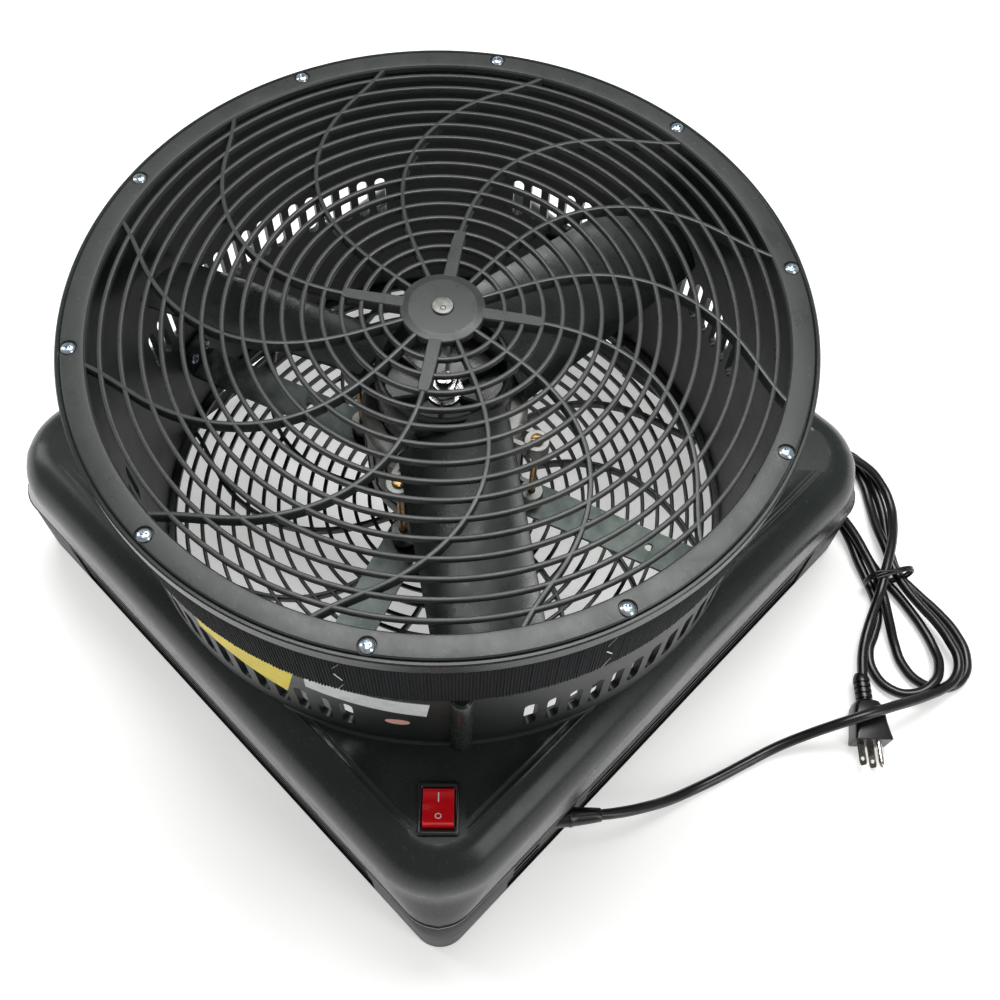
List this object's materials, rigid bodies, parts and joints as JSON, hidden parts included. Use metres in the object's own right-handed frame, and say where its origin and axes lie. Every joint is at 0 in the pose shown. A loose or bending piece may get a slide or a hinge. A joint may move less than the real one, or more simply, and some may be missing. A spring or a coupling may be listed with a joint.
{
  "type": "inflatable tube blower",
  "caption": "Square-based floor blower with an upright round duct, spiral guard grille, three-blade axial fan, rocker switch and a tied mains cord, made to fill an inflatable tube from below",
  "frame": {"origin": "centre of the square base on the floor, without the cord", "axes": "+Z is the duct's axis and the way the air leaves; X and Y are square to the base's sides; the rocker switch is in the (+X, -Y) corner and the cord leaves through the +X side"},
  "size_m": [0.6298, 0.5493, 0.311],
  "materials": {
    "housing_plastic": "satin moulded polyethylene",
    "grille_plastic": "satin dark grey",
    "hook_tape": "woven hook tape, matte",
    "bolt_aluminium": "satin",
    "screw_zinc": "bluish zinc plate",
    "cast_shield": "bright die-cast surface",
    "can_black": "semi-gloss black paint",
    "winding": "varnished copper winding and steel laminations",
    "bright_steel": "ground steel",
    "bolt_brass": "dull",
    "strap_zinc": "zinc-plated pressed steel",
    "impeller_plastic": "satin black",
    "switch_black": "semi-gloss",
    "rocker_red": "gloss",
    "capacitor_can": "drawn can",
    "cord_pvc": "satin PVC",
    "tie_nylon": "satin nylon",
    "foot_rubber": "matte",
    "prong_nickel": "nickel plate"
  },
  "bodies": {
    "housing": {"upper_housing": "housing_plastic", "duct": "housing_plastic", "lower_housing": "housing_plastic", "top_grille": "grille_plastic", "intake_grille": "grille_plastic", "hook_tape_band": "hook_tape", "grille_centre_bolt": "bolt_aluminium", "top_grille_screw_1": "screw_zinc", "top_grille_screw_2": "screw_zinc", "top_grille_screw_3": "screw_zinc", "top_grille_screw_4": "screw_zinc", "top_grille_screw_5": "screw_zinc", "top_grille_screw_6": "screw_zinc", "top_grille_screw_7": "screw_zinc", "top_grille_screw_8": "screw_zinc", "top_grille_screw_9": "screw_zinc", "top_grille_screw_10": "screw_zinc", "strap_screw_1": "screw_zinc", "strap_screw_2": "screw_zinc", "strap_screw_3": "screw_zinc", "strap_screw_4": "screw_zinc", "motor_lower_end_shield": "cast_shield", "motor_upper_end_shield": "cast_shield", "motor_can": "can_black", "motor_stator": "winding", "motor_lower_bearing": "bright_steel", "motor_upper_bearing": "bright_steel", "motor_bolt_1": "bolt_brass", "motor_bolt_2": "bolt_brass", "motor_bolt_3": "bolt_brass", "motor_bolt_4": "bolt_brass", "motor_strap_upper": "strap_zinc", "motor_strap_lower": "strap_zinc", "switch_body": "switch_black", "run_capacitor": "capacitor_can", "wiring_harness": "cord_pvc", "cord_strain_relief": "cord_pvc", "cord_lead": "cord_pvc", "cord_hank": "cord_pvc", "cord_tail": "cord_pvc", "plug_body": "cord_pvc", "cable_tie": "tie_nylon", "rubber_foot_1": "foot_rubber", "rubber_foot_2": "foot_rubber", "rubber_foot_3": "foot_rubber", "rubber_foot_4": "foot_rubber", "plug_blade_line": "prong_nickel", "plug_blade_neutral": "prong_nickel", "plug_pin_ground": "prong_nickel"},
    "fan": {"impeller": "impeller_plastic", "impeller_washer": "bright_steel", "impeller_nut": "bright_steel", "motor_shaft": "bright_steel", "motor_rotor": "cast_shield"},
    "rocker": {"switch_rocker": "rocker_red"}
  },
  "joints": [
    {"name": "fan_spin", "type": "hinge", "parent": "housing", "child": "fan", "pos_m": [0, 0, 0.22], "axis": [0, 0, 1], "continuous": true},
    {"name": "rocker_tilt", "type": "hinge", "parent": "housing", "child": "rocker", "pos_m": [0.18703, -0.18703, 0.1457], "axis": [0.7071, 0.7071, 0], "range_deg": [0, 20]}
  ]
}
